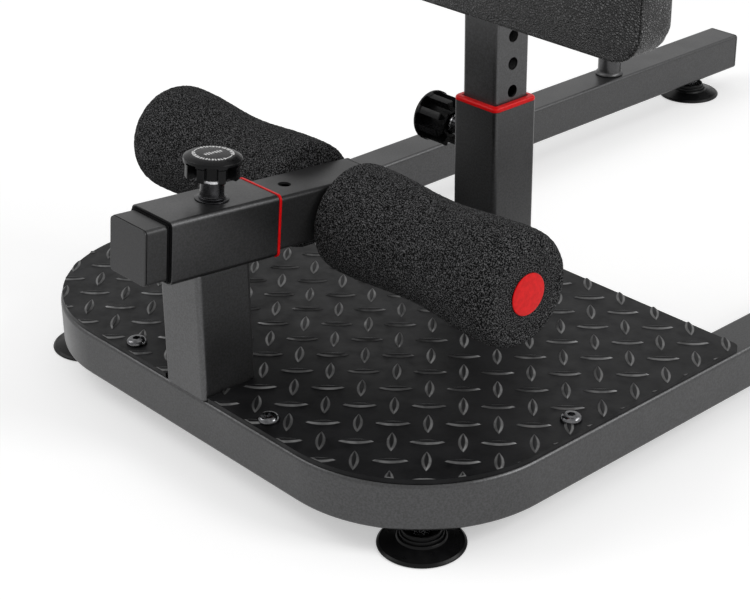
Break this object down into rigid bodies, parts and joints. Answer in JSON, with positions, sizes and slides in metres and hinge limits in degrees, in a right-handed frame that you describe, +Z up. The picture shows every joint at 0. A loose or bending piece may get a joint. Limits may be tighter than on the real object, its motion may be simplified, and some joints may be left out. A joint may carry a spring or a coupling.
{
  "type": "sissy squat bench",
  "caption": "Floor-standing sissy squat bench: U-shaped square-tube base with a tread plate, sliding foam ankle rollers and a height-adjustable calf pad",
  "frame": {"origin": "centre of the footprint at floor level, under the middle of the object's bounding box", "axes": "+X towards the near side rail, +Y from the roller end to the open rear end, +Z up"},
  "size_m": [0.5644, 1.0543, 0.52],
  "materials": {
    "powder_coat": "satin",
    "powder_coat_post": "satin",
    "powder_coat_sleeve": "satin",
    "powder_coat_inner": "satin",
    "tread_paint": "satin",
    "black_plastic": "satin",
    "grey_plastic": "satin",
    "red_plastic": "satin",
    "black_foam": "matte",
    "black_leather": "satin",
    "plywood": "matte",
    "black_oxide_steel": "satin",
    "zinc_plated_steel": "satin",
    "knob_plastic": "satin",
    "foot_rubber": "matte"
  },
  "bodies": {
    "base": {"base_tube": "powder_coat", "rear_crossbar": "powder_coat", "rail_cap_near": "grey_plastic", "rail_cap_far": "grey_plastic", "tread_plate": "tread_paint", "plate_bolt_1": "black_oxide_steel", "plate_bolt_2": "black_oxide_steel", "plate_bolt_3": "black_oxide_steel", "plate_bolt_4": "black_oxide_steel", "front_post": "powder_coat_post", "front_sleeve": "powder_coat_sleeve", "front_liner": "black_plastic", "front_bushing": "red_plastic", "front_pin_barrel": "black_oxide_steel", "rear_sleeve": "powder_coat_sleeve", "rear_collar": "red_plastic", "rear_pin_barrel": "black_oxide_steel", "band_peg_near": "powder_coat", "band_peg_far": "powder_coat"},
    "carriage": {"carriage_tube": "powder_coat_inner", "carriage_cap_front": "grey_plastic", "carriage_cap_rear": "grey_plastic", "roller_axle": "black_oxide_steel", "roller_cap_near": "red_plastic", "roller_cap_far": "red_plastic"},
    "roller_near": {"foam_roller_near": "black_foam"},
    "roller_far": {"foam_roller_far": "black_foam"},
    "pad_lift": {"pad_post": "powder_coat_post", "pad_post_cap": "grey_plastic", "pad_bracket": "powder_coat_post", "pad_bolt_near": "zinc_plated_steel", "pad_bolt_far": "zinc_plated_steel", "pad_board": "plywood", "pad_cushion": "black_leather"},
    "front_lock_pin": {"front_pin": "zinc_plated_steel"},
    "front_lock_knob": {"front_knob": "knob_plastic"},
    "rear_lock_pin": {"rear_pin": "zinc_plated_steel"},
    "rear_lock_knob": {"rear_knob": "knob_plastic"},
    "foot_front_near": {"foot_stud_front_near": "zinc_plated_steel"},
    "foot_front_near_disc": {"foot_disc_front_near": "foot_rubber"},
    "foot_front_far": {"foot_stud_front_far": "zinc_plated_steel"},
    "foot_front_far_disc": {"foot_disc_front_far": "foot_rubber"},
    "foot_rear_near": {"foot_stud_rear_near": "zinc_plated_steel"},
    "foot_rear_near_disc": {"foot_disc_rear_near": "foot_rubber"},
    "foot_rear_far": {"foot_stud_rear_far": "zinc_plated_steel"},
    "foot_rear_far_disc": {"foot_disc_rear_far": "foot_rubber"}
  },
  "joints": [
    {"name": "carriage_slide", "type": "slide", "parent": "base", "child": "carriage", "axis": [0, 0.9955, -0.0947], "range_m": [-0.0492, 0.0492]},
    {"name": "roller_spin_near", "type": "hinge", "parent": "carriage", "child": "roller_near", "pos_m": [0.12475, -0.319, 0.1767], "axis": [1, 0, 0], "continuous": true},
    {"name": "roller_spin_far", "type": "hinge", "parent": "carriage", "child": "roller_far", "pos_m": [-0.12475, -0.319, 0.1767], "axis": [1, 0, 0], "continuous": true},
    {"name": "pad_height", "type": "slide", "parent": "base", "child": "pad_lift", "axis": [0, 0, 1], "range_m": [-0.0756, 0.0252]},
    {"name": "front_pin_slide", "type": "slide", "parent": "base", "child": "front_lock_pin", "axis": [0, 0.0947, 0.9955], "range_m": [-0.008, 0]},
    {"name": "front_knob_turn", "type": "hinge", "parent": "front_lock_pin", "child": "front_lock_knob", "pos_m": [0, -0.44277, 0.22201], "axis": [0, 0.0947, 0.9955], "continuous": true},
    {"name": "rear_pin_slide", "type": "slide", "parent": "base", "child": "rear_lock_pin", "axis": [-1, 0, 0], "range_m": [-0.008, 0]},
    {"name": "rear_knob_turn", "type": "hinge", "parent": "rear_lock_pin", "child": "rear_lock_knob", "pos_m": [-0.0259, -0.1275, 0.1827], "axis": [-1, 0, 0], "continuous": true},
    {"name": "foot_screw_front_near", "type": "slide", "parent": "base", "child": "foot_front_near", "axis": [0, 0, -1], "range_m": [0, 0.012]},
    {"name": "foot_swivel_front_near", "type": "hinge", "parent": "foot_front_near", "child": "foot_front_near_disc", "pos_m": [0.2183, -0.425, 0], "axis": [0, 0, 1], "continuous": true},
    {"name": "foot_screw_front_far", "type": "slide", "parent": "base", "child": "foot_front_far", "axis": [0, 0, -1], "range_m": [0, 0.012]},
    {"name": "foot_swivel_front_far", "type": "hinge", "parent": "foot_front_far", "child": "foot_front_far_disc", "pos_m": [-0.2183, -0.425, 0], "axis": [0, 0, 1], "continuous": true},
    {"name": "foot_screw_rear_near", "type": "slide", "parent": "base", "child": "foot_rear_near", "axis": [0, 0, -1], "range_m": [0, 0.012]},
    {"name": "foot_swivel_rear_near", "type": "hinge", "parent": "foot_rear_near", "child": "foot_rear_near_disc", "pos_m": [0.24725, 0.4657, 0], "axis": [0, 0, 1], "continuous": true},
    {"name": "foot_screw_rear_far", "type": "slide", "parent": "base", "child": "foot_rear_far", "axis": [0, 0, -1], "range_m": [0, 0.012]},
    {"name": "foot_swivel_rear_far", "type": "hinge", "parent": "foot_rear_far", "child": "foot_rear_far_disc", "pos_m": [-0.24725, 0.4657, 0], "axis": [0, 0, 1], "continuous": true}
  ]
}
